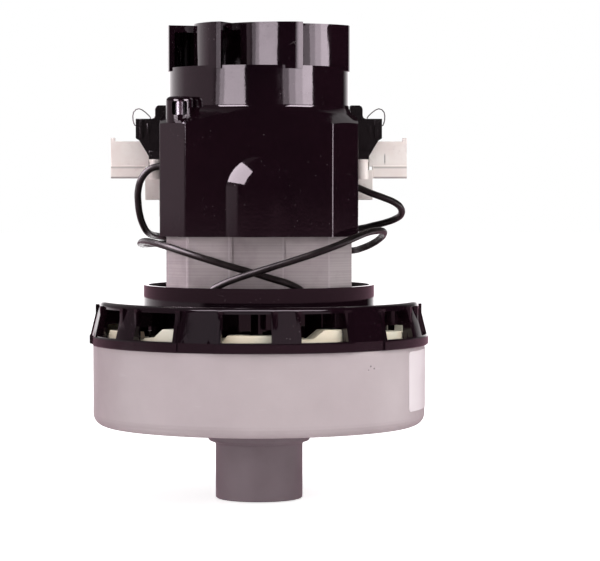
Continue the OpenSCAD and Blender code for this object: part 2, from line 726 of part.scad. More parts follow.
module brush_insulator(side) {
    tab_top = z_brush + 21;
    block_top = z_brush + 15.2;
    w = insulator_w;
    color(black_gloss)
    scale([side, 1, 1]) difference() {
        union() {
            translate([0, w, 0]) rotate([90, 0, 0]) linear_extrude(2 * w)
                polygon([[36, z_brush - 7], [47.8, z_brush - 7], [47.8, z_brush - 1],
                    [51.8, z_brush + 5.7], [53.4, z_brush + 6.7], [53.4, block_top],
                    [46.4, block_top], [45.4, block_top + 0.4], [45, block_top + 1.4],
                    [45, tab_top - 1.6], [44.6, tab_top - 0.6], [43.6, tab_top], [39.8, tab_top],
                    [39.8, z_upper_bearing - 1.4], [36, z_upper_bearing - 4.4]]);
            translate([post_x - 2.3, -w - 5.2, z_brush - 2.4]) cube([4.8, 6, 3.6]);
            translate([50.2, -w - 0.8, z_brush + 6.8]) cube([1.4, 2 * w + 1.6, 8]);
            translate([47.4, -w - 0.5, z_brush + 9]) cube([1, 2 * w + 1, 4]);
        }
        translate([30, -tube_w / 2 - fit_gap, z_brush - tube_t / 2 - fit_gap])
            cube([30, tube_w + 2 * fit_gap, tube_t + 2 * fit_gap]);
    }
}

// Folded strap under the insulator, against the shroud's side
module brush_clamp(side) {
    wall_x = stack_half_w + seat_gap * 2 + shroud_wall;
    top = z_brush - 7;
    leg_x = 49.5;
    color(metal)
    scale([side, 1, 1]) union() {
        translate([wall_x, -5, top - 13]) cube([1, 10, 13]);
        translate([wall_x, -4, top - 20.4]) cube([1, 8, 8]);
        translate([wall_x, -5, top - 1]) cube([leg_x - wall_x, 10, 1]);
        for (y = [-5, 4]) {
            translate([wall_x, y, top - 13]) cube([leg_x - wall_x, 1, 13]);
        }
    }
}

module terminal_post(side) {
    color(metal)
    scale([side, 1, 1]) translate([post_x, -insulator_w - 3, 0]) union() {
        translate([0, 0, z_brush - 11]) cylinder(r = 2.4, h = 8.6);
        translate([0, 0, z_brush - 3.4]) cylinder(r = 2.5, h = 1);
    }
}

function mirrored(p, side) = [for (q = p) [side * q[0], q[1], q[2]]];

// Fine wire looped from the insulator's top to its outer face
module brush_shunt(side) {
    top = z_brush + 15.2;
    route = [[47.2, -2, top], [47.2, -2, top + 0.6], [47.9, -2, top + 1.5], [49.4, -2, top + 2.9],
        [50.9, -2, top + 4], [52.2, -2, top + 4.5], [53.6, -2, top + 4.1], [54.6, -2, top + 2.9],
        [54.9, -2, top + 1.3], [54.8, -2, top - 0.6], [54.4, -2, top - 2], [54, -2, top - 2.8],
        [53.4, -2, top - 2.8]];
    color([0.6, 0.58, 0.58])
    swept_tube(mirrored(route, side), shunt_r, 6);
}

function spring_route(length) = [for (i = [0 : spring_turns * 8])
    let (a = 45 * i) [brush_out + spring_wire / 2 + 0.2
        + (length - spring_wire - 0.4) * i / (spring_turns * 8),
        spring_r * cos(a), z_brush + spring_r * sin(a)]];
spring_len = tube_end_x - 0.8 - brush_out;
spring_gaps = [for (i = [0 : 2]) for (j = [6 : 10])
    norm(spring_route(spring_len)[8 + i + j] - spring_route(spring_len)[8 + i]) - spring_wire];

module brush_spring(side) {
    color(metal)
    swept_tube(mirrored(spring_route(spring_len), side), spring_wire / 2, 6);
}

module carbon_brush(side) {
    color([0.2, 0.2, 0.21])
    scale([side, 1, 1]) difference() {
        translate([brush_in, -brush_w / 2, z_brush - brush_t / 2])
            cube([brush_len, brush_w, brush_t]);
        translate([0, 0, z_brush - brush_t]) cylinder(r = commutator_r + brush_gap, h = 2 * brush_t);
    }
}

module lead(route) {
    color([0.05, 0.045, 0.05])
    swept_tube(route, lead_d / 2, 8);
}

module lead_sleeve(route) {
    end = route[len(route) - 1];
    color([0.75, 0.1, 0.1])
    translate([end[0], end[1], end[2] - 5.6]) cylinder(r = 2.3, h = 5.6);
}

// Races are rings with a round groove for the balls
module race(r_in, r_out, z) {
    rotate_extrude() difference() {
        translate([r_in, z]) square([r_out - r_in, bearing_h]);
        translate([race_r, z + bearing_h / 2]) circle(r = ball_r + 0.06);
    }
}

module bearing_outer(z) {
    color(metal)
    race(race_r + 1.2, bearing_r, z);
}

module bearing_inner(z) {
    color(metal)
    race(shaft_r + fit_gap, race_r - 1.2, z);
}

module bearing_balls(z) {
    color(metal)
    for (i = [0 : ball_count - 1]) {
        rotate([0, 0, 360 * i / ball_count]) translate([race_r, 0, z + bearing_h / 2])
            sphere(r = ball_r);
    }
}

module shaft() {
    color(metal)
    translate([0, 0, shaft_end]) cylinder(r = shaft_r, h = z_fan + fan_h + 7 - shaft_end);
}

// Two discs with swept blades between them, open at the eye
module impeller(z) {
    color([0.82, 0.82, 0.84])
    union() {
        ring(eye_r, impeller_r, z, disc_t);
        ring(shaft_r + fit_gap, impeller_r, z + disc_t + vane_h, disc_t);
        for (i = [0 : impeller_vanes - 1]) {
            rotate([0, 0, 360 * i / impeller_vanes]) translate([0, 0, z + disc_t / 2])
                linear_extrude(vane_h + disc_t) blade(eye_r + 1, impeller_r - 0.5, 48, vane_t);
        }
    }
}

module spacer(z, h) {
    color(metal)
    ring(shaft_r + fit_gap, hub_r, z, h);
}

module impeller_washer() {
    color(metal)
    ring(shaft_r + fit_gap, hub_r + 1, z_first + disc_t + vane_h - washer_t, washer_t);
}

module lock_nut(z, h) {
    color(metal)
    translate([0, 0, z]) difference() {
        cylinder(r = nut_flats / 2 / cos(30), h = h, $fn = 6);
        translate([0, 0, -1]) cylinder(r = shaft_r + fit_gap, h = h + 2);
    }
}

module armature_core() {
    slots = 12;
    color([0.5, 0.48, 0.48])
    translate([0, 0, z_stack]) difference() {
        cylinder(r = core_r, h = stack_h);
        translate([0, 0, -1]) cylinder(r = shaft_r + fit_gap, h = stack_h + 2);
        for (i = [0 : slots - 1]) {
            rotate([0, 0, 360 * i / slots]) translate([core_r - 7, -1.6, -1])
                cube([9, 3.2, stack_h + 2]);
        }
    }
}

module armature_winding() {
    slots = 12;
    bell = 6;
    color([0.62, 0.3, 0.14])
    union() {
        for (z = [z_stack - bell - 0.2, z_stack_top + 0.2]) {
            ring(shaft_r + 1.5, core_r - 1.6, z, bell);
        }
        for (i = [0 : slots - 1]) {
            rotate([0, 0, 360 * i / slots])
                translate([core_r - 6.8, -1.4, z_stack - 0.4])
                cube([5, 2.8, stack_h + 0.8]);
        }
    }
}

module commutator() {
    bars = 24;
    color([0.72, 0.42, 0.25])
    difference() {
        union() {
            ring(shaft_r + fit_gap, commutator_r, z_commutator, commutator_h);
            ring(shaft_r + fit_gap, commutator_r + 1.6, z_commutator - 2.4, 2.6);
        }
        for (i = [0 : bars - 1]) {
            rotate([0, 0, 360 * i / bars]) translate([commutator_r - 1, -0.25, z_commutator - 3])
                cube([4, 0.5, commutator_h + 4]);
        }
    }
}

module vent_fan() {
    blades = 9;
    sweep = 28;
    blade_t = 1.3;
    fan_r = neck_in - 3;
    color([0.1, 0.1, 0.1])
    union() {
        ring(shaft_r + fit_gap, fan_r, z_fan, 1.6);
        ring(shaft_r + fit_gap, hub_r, z_fan, fan_h);
        ring(shaft_r + fit_gap, race_r - 1.5, z_upper_bearing + bearing_h,
            z_fan - z_upper_bearing - bearing_h + 0.5);
        for (i = [0 : blades - 1]) {
            rotate([0, 0, 360 * i / blades]) translate([0, 0, z_fan + 0.8])
                linear_extrude(fan_h - 0.8) blade(hub_r + 6, fan_r - 0.5, sweep, blade_t);
        }
    }
}

echo(left_lead_length = route_length(left_route), right_lead_length = route_length(right_route));
echo(least_spring_gap = min(spring_gaps));

inlet_tube();
fan_shell();
shell_label();
fan_bracket();
discharge_diffuser();
diffuser_screws();
stationary_fan();
field_stack();
field_coil(0);  // front_field_coil
field_coil(180);  // rear_field_coil
motor_shroud();
vent_cap();
through_bolts();
brush_tube(-1);  // left_brush_tube
brush_tube(1);  // right_brush_tube
brush_insulator(-1);  // left_brush_insulator
brush_insulator(1);  // right_brush_insulator
brush_clamp(-1);  // left_brush_clamp
brush_clamp(1);  // right_brush_clamp
terminal_post(-1);  // left_terminal_post
terminal_post(1);  // right_terminal_post
brush_shunt(-1);  // left_brush_shunt
brush_shunt(1);  // right_brush_shunt
brush_spring(-1);  // left_brush_spring
brush_spring(1);  // right_brush_spring
carbon_brush(-1);  // left_brush
carbon_brush(1);  // right_brush
lead(left_route);  // left_lead
lead(right_route);  // right_lead
lead_sleeve(left_route);  // left_lead_sleeve
lead_sleeve(right_route);  // right_lead_sleeve
bearing_outer(z_lower_bearing);  // lower_bearing_outer
bearing_balls(z_lower_bearing);  // lower_bearing_balls
bearing_inner(z_lower_bearing);  // lower_bearing_inner
bearing_outer(z_upper_bearing);  // upper_bearing_outer
bearing_balls(z_upper_bearing);  // upper_bearing_balls
bearing_inner(z_upper_bearing);  // upper_bearing_inner
shaft();
impeller(z_first);  // first_impeller
impeller(z_second);  // second_impeller
spacer(z_first + impeller_h, z_second - z_first - disc_t);  // impeller_spacer
spacer(z_second + impeller_h, z_lower_bearing - z_second - impeller_h);  // bearing_spacer
impeller_washer();
lock_nut(z_first + disc_t + vane_h - washer_t - nut_h, nut_h);  // impeller_nut
armature_core();
armature_winding();
commutator();
vent_fan();
lock_nut(z_fan + fan_h, nut_h);  // vent_fan_nut
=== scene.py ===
import json
import math

import bmesh
import bpy
from mathutils import Matrix, Vector


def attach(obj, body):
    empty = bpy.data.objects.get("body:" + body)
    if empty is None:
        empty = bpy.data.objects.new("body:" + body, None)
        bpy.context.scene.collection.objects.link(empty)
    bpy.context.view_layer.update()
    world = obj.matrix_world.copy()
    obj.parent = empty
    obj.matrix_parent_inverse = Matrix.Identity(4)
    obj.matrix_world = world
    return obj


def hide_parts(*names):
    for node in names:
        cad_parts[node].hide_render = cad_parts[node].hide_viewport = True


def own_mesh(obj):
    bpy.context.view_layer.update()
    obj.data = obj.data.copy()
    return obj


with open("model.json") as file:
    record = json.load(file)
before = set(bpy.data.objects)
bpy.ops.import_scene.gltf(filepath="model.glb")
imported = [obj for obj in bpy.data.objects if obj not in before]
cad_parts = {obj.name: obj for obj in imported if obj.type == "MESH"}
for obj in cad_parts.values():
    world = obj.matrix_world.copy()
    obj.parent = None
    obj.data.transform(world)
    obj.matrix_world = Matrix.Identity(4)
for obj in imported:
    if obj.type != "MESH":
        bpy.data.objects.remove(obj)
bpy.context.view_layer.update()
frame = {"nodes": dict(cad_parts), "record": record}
nodes = frame["nodes"]
mm = 0.001
print("frame loaded,", len(nodes), "nodes")

# The camera stands level with the brush gear and looks a little down and to the right
camera = {"distance": 1.1, "height": 0.137, "pitch": 2.18, "yaw": 0.934, "lens": 150.9,
          "sensor": 36.0, "nearClip": 0.05, "farClip": 60}


def makeCamera(c):
    data = bpy.data.cameras.new("camera")
    data.sensor_width = c["sensor"]
    data.lens = c["lens"]
    data.clip_start = c["nearClip"]
    data.clip_end = c["farClip"]
    eye = bpy.data.objects.new("camera", data)
    eye.location = (0, -c["distance"], c["height"])
    eye.rotation_euler = (math.radians(90 - c["pitch"]), 0, math.radians(-c["yaw"]))
    bpy.context.scene.collection.objects.link(eye)
    bpy.context.scene.camera = eye


makeCamera(camera)


# Node graph helpers
def startMaterial(name):
    mat = bpy.data.materials.new(name)
    mat.use_nodes = True
    return mat, mat.node_tree, mat.node_tree.nodes["Principled BSDF"]


def plug(tree, socket, value):
    if isinstance(value, bpy.types.NodeSocket):
        tree.links.new(value, socket)
    else:
        socket.default_value = value


def addNode(tree, kind, settings=None, inputs=None):
    made = tree.nodes.new(kind)
    for key, value in (settings or {}).items():
        setattr(made, key, value)
    for key, value in (inputs or {}).items():
        plug(tree, made.inputs[key], value)
    return made


def objectPattern(tree, scale=(1, 1, 1)):
    place = addNode(tree, "ShaderNodeTexCoord")
    mapping = addNode(tree, "ShaderNodeMapping", None,
                      {"Vector": place.outputs["Object"], "Scale": scale})
    return mapping.outputs["Vector"]


def axisValue(tree, letter):
    place = addNode(tree, "ShaderNodeTexCoord").outputs["Object"]
    return addNode(tree, "ShaderNodeSeparateXYZ", None, {0: place}).outputs[letter]


def noise(tree, where, scale, detail=3.0, rough=0.5):
    made = addNode(tree, "ShaderNodeTexNoise", None,
                   {"Vector": where, "Scale": scale, "Detail": detail, "Roughness": rough})
    return made.outputs["Fac"]


def spots(tree, where, scale):
    made = addNode(tree, "ShaderNodeTexVoronoi", None, {"Vector": where, "Scale": scale})
    return made.outputs["Distance"]


def ramp(tree, value, low, high, first=0.0, last=1.0):
    made = addNode(tree, "ShaderNodeMapRange", {"clamp": True},
                   {"Value": value, "From Min": low, "From Max": high,
                    "To Min": first, "To Max": last})
    return made.outputs["Result"]


def mixColour(tree, amount, a, b):
    made = addNode(tree, "ShaderNodeMix", {"data_type": "RGBA"}, {"Factor": amount})
    plug(tree, made.inputs[6], a)
    plug(tree, made.inputs[7], b)
    return made.outputs[2]


def calc(tree, kind, a, b=0.0):
    made = addNode(tree, "ShaderNodeMath", {"operation": kind})
    plug(tree, made.inputs[0], a)
    plug(tree, made.inputs[1], b)
    return made.outputs[0]


def strongest(tree, values):
    most = values[0]
    for value in values[1:]:
        most = calc(tree, "MAXIMUM", most, value)
    return most


def bump(tree, height, strength, distance, normal=None):
    inputs = {"Height": height, "Strength": strength, "Distance": distance}
    if normal is not None:
        inputs["Normal"] = normal
    return addNode(tree, "ShaderNodeBump", None, inputs).outputs["Normal"]


bandEdges = (0.6, 1.2)  # where a stripe starts to fade and where it ends, in half widths


def band(tree, value, centre, half, show, ragged=None):  # a stripe, sizes in mm
    off = calc(tree, "ABSOLUTE", calc(tree, "SUBTRACT", value, centre * mm))
    if ragged is not None:
        off = calc(tree, "ADD", off, ragged)
    return ramp(tree, off, half * bandEdges[0] * mm, half * bandEdges[1] * mm, show, 0.0)


def colour(r, g, b):  # linear colour from screen values, 0 to 255
    def linear(v):
        v = v / 255
        return v / 12.92 if v <= 0.04045 else ((v + 0.055) / 1.055) ** 2.4
    return (linear(r), linear(g), linear(b), 1.0)


# Mouldings: a slow cloud of colour, fine hairs, dust in patches, haze and a faint wave
mouldingMarks = {"cloud": (0.35, 0.65), "hairLine": (0.001, 0.003), "hairArea": (0.68, 0.71),
                 "hairAreaScale": 1.7, "dustDot": (0.05, 0.09), "dustArea": (0.50, 0.66),
                 "dustAreaScale": 45, "markRough": 0.5, "haze": (0.3, 0.75), "hazeScale": 130,
                 "waveDepth": 0.002, "grainDepth": 0.0002}


def moulding(name, look):
    m = mouldingMarks
    mat, tree, shader = startMaterial(name)
    where = objectPattern(tree)
    cloud = ramp(tree, noise(tree, where, look["cloud"], detail=4), *m["cloud"])
    base = mixColour(tree, cloud, look["deep"], look["pale"])
    level = noise(tree, where, look["hairScale"], detail=2)
    contour = calc(tree, "ABSOLUTE", calc(tree, "SUBTRACT", level, 0.5))
    areas = noise(tree, where, look["hairScale"] * m["hairAreaScale"], detail=1)
    hairs = calc(tree, "MULTIPLY", ramp(tree, contour, *m["hairLine"], 1.0, 0.0),
                 ramp(tree, areas, *m["hairArea"]))
    dots = ramp(tree, spots(tree, where, look["dustScale"]), *m["dustDot"], 1.0, 0.0)
    dustAreas = ramp(tree, noise(tree, where, m["dustAreaScale"], detail=2), *m["dustArea"])
    dust = calc(tree, "MULTIPLY", dots, dustAreas)
    marks = calc(tree, "MAXIMUM", calc(tree, "MULTIPLY", hairs, look["hairShow"]),
                 calc(tree, "MULTIPLY", dust, look["dustShow"]))
    plug(tree, shader.inputs["Base Color"], mixColour(tree, marks, base, look["mark"]))
    haze = ramp(tree, noise(tree, where, m["hazeScale"], detail=5, rough=0.6), *m["haze"],
                look["rough"], look["rough"] + look["haze"])
    plug(tree, shader.inputs["Roughness"],
         calc(tree, "ADD", haze, calc(tree, "MULTIPLY", marks, m["markRough"])))
    wave = bump(tree, noise(tree, where, look["waveScale"], detail=1), look["wave"],
                m["waveDepth"])
    grain = bump(tree, noise(tree, where, look["grainScale"]), look["grain"],
                 m["grainDepth"], wave)
    plug(tree, shader.inputs["Normal"], grain)
    shader.inputs["Specular IOR Level"].default_value = look["specular"]
    return mat


blackLook = {"deep": colour(17, 7, 13), "pale": colour(26, 11, 18),
             "mark": colour(150, 138, 142), "cloud": 14, "hairScale": 90, "hairShow": 0.12,
             "dustScale": 420, "dustShow": 0.55, "rough": 0.055, "haze": 0.04, "waveScale": 32,
             "wave": 0.035, "grainScale": 900, "grain": 0.05, "specular": 0.5}
# The cream's colours are written paler than the real moulding: painted light that makes up for the
# shade it sits in behind the ring's windows.
creamLook = {"deep": colour(255, 238, 210), "pale": colour(255, 250, 230),
             "mark": colour(170, 150, 115), "cloud": 40, "hairScale": 120, "hairShow": 0.3,
             "dustScale": 500, "dustShow": 0.3, "rough": 0.42, "haze": 0.12, "waveScale": 60,
             "wave": 0.1, "grainScale": 1400, "grain": 0.12, "specular": 0.4}
tubeLook = {"deep": colour(130, 116, 122), "pale": colour(146, 132, 138),
            "mark": colour(170, 160, 164), "cloud": 26, "hairScale": 70, "hairShow": 0.25,
            "dustScale": 600, "dustShow": 0.2, "rough": 0.34, "haze": 0.10, "waveScale": 30,
            "wave": 0.06, "grainScale": 1600, "grain": 0.10, "specular": 0.45}
labelLook = dict(tubeLook, deep=colour(234, 223, 227), pale=colour(243, 233, 236),
                 mark=colour(226, 220, 224), rough=0.3, haze=0.06)
sleeveLook = dict(tubeLook, deep=colour(120, 24, 22), pale=colour(150, 34, 30),
                  mark=colour(190, 90, 80), rough=0.35)
blockLook = dict(blackLook, deep=colour(16, 14, 15), pale=colour(27, 24, 25), rough=0.16)
carbonLook = dict(creamLook, deep=colour(34, 34, 37), pale=colour(52, 52, 56),
                  mark=colour(84, 84, 90), rough=0.5)

# Sheet and wire metal: brushed lines, stains and shallow dents, and on the brush tubes painted
# shade at the folded join, the lower edge and the slot
metalMarks = {"cloud": (0.35, 0.7), "stain": (0.60, 0.72), "lines": (0.3, 0.7),
              "lineRough": (-0.06, 0.08), "stainRough": 0.15, "brushDepth": 0.0001,
              "dentDepth": 0.001}


def paintedStepShade(tree, look):  # painted shade: dark lines under the folded join's step and along the turned lower edge, and the right tube's slot drawn as a dark mark for its shaded opening
    across, up = axisValue(tree, "X"), axisValue(tree, "Z")
    start, full = look["stepShadeFrom"]
    outside = ramp(tree, calc(tree, "ABSOLUTE", across), start * mm, full * mm)
    stepShadeLines = strongest(tree, [band(tree, up, *stepShade) for stepShade in look["stepShadeLines"]])
    (slotX, slotZ), (halfWide, halfTall) = look["slotAt"], look["slotHalf"]
    slot = calc(tree, "MULTIPLY", band(tree, across, slotX, halfWide, look["slotShow"]),
                band(tree, up, slotZ, halfTall, 1.0))
    return calc(tree, "MAXIMUM", calc(tree, "MULTIPLY", stepShadeLines, outside), slot)


def sheetMetal(name, look):
    m = metalMarks
    mat, tree, shader = startMaterial(name)
    where = objectPattern(tree)
    lines = noise(tree, objectPattern(tree, look["lineScale"]), 1.0, rough=0.6)
    cloud = ramp(tree, noise(tree, where, look["cloud"], detail=4, rough=0.6), *m["cloud"])
    base = mixColour(tree, cloud, look["deep"], look["pale"])
    stain = ramp(tree, noise(tree, where, look["stainScale"], detail=6, rough=0.7), *m["stain"])
    base = mixColour(tree, calc(tree, "MULTIPLY", stain, look["stainShow"]), base, look["stain"])
    # painted shade lines on the brush tubes
    if "stepShadeLines" in look:
        base = mixColour(tree, paintedStepShade(tree, look), base, look["stepShade"])
    plug(tree, shader.inputs["Base Color"], base)
    smoothest, roughest = (look["rough"] + change for change in m["lineRough"])
    plug(tree, shader.inputs["Roughness"],
         calc(tree, "ADD", ramp(tree, lines, *m["lines"], smoothest, roughest),
              calc(tree, "MULTIPLY", stain, m["stainRough"])))
    brushed = bump(tree, lines, look["brush"], m["brushDepth"])
    plug(tree, shader.inputs["Normal"],
         bump(tree, noise(tree, where, look["dentScale"], detail=2), look["dent"],
              m["dentDepth"], brushed))
    shader.inputs["Metallic"].default_value = look["metal"]
    return mat


# The plated sheet's colours are written paler than the real metal: painted light that makes up for
# the shade it sits in. The brush tubes' folded sheet keeps them.
zincLook = {"lineScale": (60, 900, 900), "cloud": 90, "deep": colour(246, 232, 227),
            "pale": colour(255, 247, 242), "stainScale": 150, "stainShow": 0.3,
            "stain": colour(186, 170, 164), "rough": 0.38, "brush": 0.2, "dentScale": 90,
            "dent": 0.1, "metal": 0.06}
# brush tubes: painted shade under the folded join's step, along the lower edge and in the right
# tube's slot
tubeSheetLook = dict(zincLook, stepShadeLines=[(144.5, 0.4, 0.5), (140.0, 0.5, 0.75)],
                     stepShadeFrom=(49.6, 50.2), slotAt=(54.8, 148.2), slotHalf=(0.28, 2.2),
                     slotShow=0.8, stepShade=colour(142, 128, 126))
steelLook = dict(zincLook, lineScale=(900, 900, 60), deep=colour(176, 176, 180),
                 pale=colour(205, 205, 209), rough=0.24, metal=1.0)
aluminiumLook = dict(zincLook, lineScale=(300, 300, 300), deep=colour(196, 196, 200),
                     pale=colour(220, 220, 224), rough=0.36, metal=0.95)
copperBarLook = dict(zincLook, lineScale=(200, 200, 1600), deep=colour(160, 96, 62),
                     pale=colour(190, 122, 84), stain=colour(86, 48, 32), rough=0.28, metal=0.95)
tinnedLook = dict(zincLook, lineScale=(1200, 1200, 1200), deep=colour(92, 86, 88),
                  pale=colour(136, 128, 130), rough=0.42, metal=0.8)

# Drum paint: orange peel, faint scuffs round the drum, and nicks down to bare metal
drumLook = {"deep": colour(181, 167, 170), "pale": colour(194, 180, 183),
            "scuff": colour(206, 198, 200), "bare": colour(126, 116, 118), "rough": 0.36,
            "roughChange": (-0.04, 0.06), "sheenScale": 400, "sheen": (0.3, 0.7),
            "cloudScale": 30, "cloud": (0.3, 0.7), "scuffStretch": (60, 60, 900),
            "scuffArea": (0.66, 0.70), "scuffShow": 0.25, "peelScale": 1100, "peel": 0.12,
            "peelDepth": 0.0002, "nickEdge": (1.2, 1.5), "nickWobble": 1.3, "wobbleScale": 1800,
            "nickBump": 0.6, "nickDepth": -0.0001,
            "nicks": [(46.5, -55.5, 61.4, 0.5), (48.0, -54.2, 60.4, 0.6), (45.6, -56.2, 59.9, 0.4)]}


def nickMark(tree, where, x, y, z, size, look):
    place = addNode(tree, "ShaderNodeTexCoord").outputs["Object"]
    far = addNode(tree, "ShaderNodeVectorMath", {"operation": "DISTANCE"},
                  {0: place, 1: (x * mm, y * mm, z * mm)}).outputs["Value"]
    wobble = calc(tree, "MULTIPLY", noise(tree, where, look["wobbleScale"], detail=2),
                  size * look["nickWobble"] * mm)
    edge, gone = look["nickEdge"]
    return ramp(tree, calc(tree, "ADD", far, wobble), size * edge * mm, size * gone * mm, 1.0, 0.0)


def paintedDrum(name, look):
    mat, tree, shader = startMaterial(name)
    where = objectPattern(tree)
    cloud = ramp(tree, noise(tree, where, look["cloudScale"], detail=4), *look["cloud"])
    base = mixColour(tree, cloud, look["deep"], look["pale"])
    streaks = noise(tree, objectPattern(tree, look["scuffStretch"]), 1.0, detail=4, rough=0.6)
    scuffs = calc(tree, "MULTIPLY", ramp(tree, streaks, *look["scuffArea"]), look["scuffShow"])
    base = mixColour(tree, scuffs, base, look["scuff"])
    nicks = strongest(tree, [nickMark(tree, where, *nick, look) for nick in look["nicks"]])
    plug(tree, shader.inputs["Base Color"], mixColour(tree, nicks, base, look["bare"]))
    smoothest, roughest = (look["rough"] + change for change in look["roughChange"])
    plug(tree, shader.inputs["Roughness"],
         ramp(tree, noise(tree, where, look["sheenScale"], detail=4), *look["sheen"],
              smoothest, roughest))
    peel = bump(tree, noise(tree, where, look["peelScale"], detail=2), look["peel"],
                look["peelDepth"])
    plug(tree, shader.inputs["Normal"],
         bump(tree, nicks, look["nickBump"], look["nickDepth"], peel))
    return mat


# Laminated stack: thin plates, patches of varnish, and light upright lines that are partly weld
# lines and partly painted highlights on the edges of its facets and centre channel
stackLook = {"deep": colour(158, 147, 149), "pale": colour(184, 173, 174),
             "plateStretch": (4, 4, 1900), "plates": (0.2, 0.8), "varnish": colour(118, 106, 108),
             "varnishScale": 55, "varnishArea": (0.5, 0.75), "varnishShow": 0.5,
             "roughness": (0.5, 0.34), "metal": 0.15, "seam": colour(196, 186, 190),
             "seams": (-30.6, -12.7, 10.2, 29.6), "seamHighlightHalf": 0.55, "seamHighlightShow": 0.6,
             "ragged": 0.5, "raggedScale": 700, "grainScale": 900, "grain": 0.2,
             "grainDepth": 0.0002}


def laminations(name, look):
    mat, tree, shader = startMaterial(name)
    where = objectPattern(tree)
    plates = noise(tree, objectPattern(tree, look["plateStretch"]), 1.0, detail=2)
    base = mixColour(tree, ramp(tree, plates, *look["plates"]), look["deep"], look["pale"])
    varnish = ramp(tree, noise(tree, where, look["varnishScale"], detail=4, rough=0.6),
                   *look["varnishArea"])
    base = mixColour(tree, calc(tree, "MULTIPLY", varnish, look["varnishShow"]), base,
                     look["varnish"])
    ragged = calc(tree, "MULTIPLY", noise(tree, where, look["raggedScale"], detail=2),
                  look["ragged"] * mm)
    across = axisValue(tree, "X")
    # light upright lines with ragged edges: partly weld lines, partly painted highlights on the
    # facet and channel edges
    seams = strongest(tree, [band(tree, across, x, look["seamHighlightHalf"], 1.0, ragged)
                             for x in look["seams"]])
    plug(tree, shader.inputs["Base Color"],
         mixColour(tree, calc(tree, "MULTIPLY", seams, look["seamHighlightShow"]), base, look["seam"]))
    plug(tree, shader.inputs["Roughness"], ramp(tree, varnish, 0, 1, *look["roughness"]))
    shader.inputs["Metallic"].default_value = look["metal"]
    plug(tree, shader.inputs["Normal"],
         bump(tree, noise(tree, where, look["grainScale"]), look["grain"], look["grainDepth"]))
    return mat


# Wound copper and the leads' rubber skin
coilLook = {"deep": colour(112, 50, 24), "pale": colour(190, 104, 56), "wires": 300, "across": "Z",
            "waver": 1.2, "waverDetail": 1.0, "waverScale": 0.6, "roughness": (0.45, 0.28),
            "bump": 0.7, "depth": 0.0004, "metal": 0.4}
armatureWireLook = dict(coilLook, across="X", wires=420)
leadLook = {"deep": colour(14, 10, 9), "pale": colour(26, 20, 18), "cloudScale": 220,
            "cloud": (0.35, 0.7), "fleck": colour(128, 122, 122), "dust": 0.35, "dustScale": 900,
            "dustDot": (0.05, 0.09), "rough": 0.30, "roughChange": 0.12, "sheen": (0.3, 0.7),
            "grainScale": 1500, "grain": 0.25, "grainDepth": 0.0002}


def woundWire(name, look):
    mat, tree, shader = startMaterial(name)
    strands = addNode(tree, "ShaderNodeTexWave",
                      {"wave_type": "BANDS", "bands_direction": look["across"]},
                      {"Vector": objectPattern(tree), "Scale": look["wires"],
                       "Distortion": look["waver"], "Detail": look["waverDetail"],
                       "Detail Scale": look["waverScale"]}).outputs["Fac"]
    plug(tree, shader.inputs["Base Color"], mixColour(tree, strands, look["deep"], look["pale"]))
    plug(tree, shader.inputs["Roughness"], ramp(tree, strands, 0, 1, *look["roughness"]))
    plug(tree, shader.inputs["Normal"], bump(tree, strands, look["bump"], look["depth"]))
    shader.inputs["Metallic"].default_value = look["metal"]
    return mat


def cordSkin(name, look):
    mat, tree, shader = startMaterial(name)
    where = objectPattern(tree)
    cloud = noise(tree, where, look["cloudScale"], detail=4)
    base = mixColour(tree, ramp(tree, cloud, *look["cloud"]), look["deep"], look["pale"])
    dust = ramp(tree, spots(tree, where, look["dustScale"]), *look["dustDot"], look["dust"], 0.0)
    plug(tree, shader.inputs["Base Color"], mixColour(tree, dust, base, look["fleck"]))
    plug(tree, shader.inputs["Roughness"],
         ramp(tree, cloud, *look["sheen"], look["rough"], look["rough"] + look["roughChange"]))
    plug(tree, shader.inputs["Normal"],
         bump(tree, noise(tree, where, look["grainScale"]), look["grain"], look["grainDepth"]))
    return mat


finishes = {
    "black_moulding": moulding("blackMoulding", blackLook),
    "cream_moulding": moulding("creamMoulding", creamLook),
    "tube_plastic": moulding("greyTube", tubeLook),
    "label_white": moulding("whiteFilm", labelLook),
    "sleeve": moulding("redSleeve", sleeveLook),
    "carbon": moulding("pressedCarbon", carbonLook),
    "sheet_steel": sheetMetal("platedSheet", zincLook),
    "bright_steel": sheetMetal("groundSteel", steelLook),
    "fan_aluminium": sheetMetal("pressedAluminium", aluminiumLook),
    "commutator_copper": sheetMetal("copperBars", copperBarLook),
    "shunt_wire": sheetMetal("tinnedWire", tinnedLook),
    "shell_paint": paintedDrum("drumPaint", drumLook),
    "laminations": laminations("platedStack", stackLook),
    "copper_winding": woundWire("coilWire", coilLook),
    "lead_insulation": cordSkin("leadSkin", leadLook),
}
for part in frame["record"]["subparts"]:
    nodes[part["node"]].data.materials.clear()
    nodes[part["node"]].data.materials.append(finishes[part["material_slot"]])
nodes["armature_winding"].data.materials[0] = woundWire("armatureWire", armatureWireLook)
blockFinish = moulding("blockMoulding", blockLook)
tubeSheetFinish = sheetMetal("foldedSheet", tubeSheetLook)
print("finishes ready")


# Modelling helpers. Angles are in degrees and lengths in mm.
edgeSettings = {"smoothUnder": 32, "bevelOver": 35, "segments": 2, "faceWeight": 80,
                "mergeWithin": 0.001, "spinMerge": 0.002, "flatWithin": 0.4}


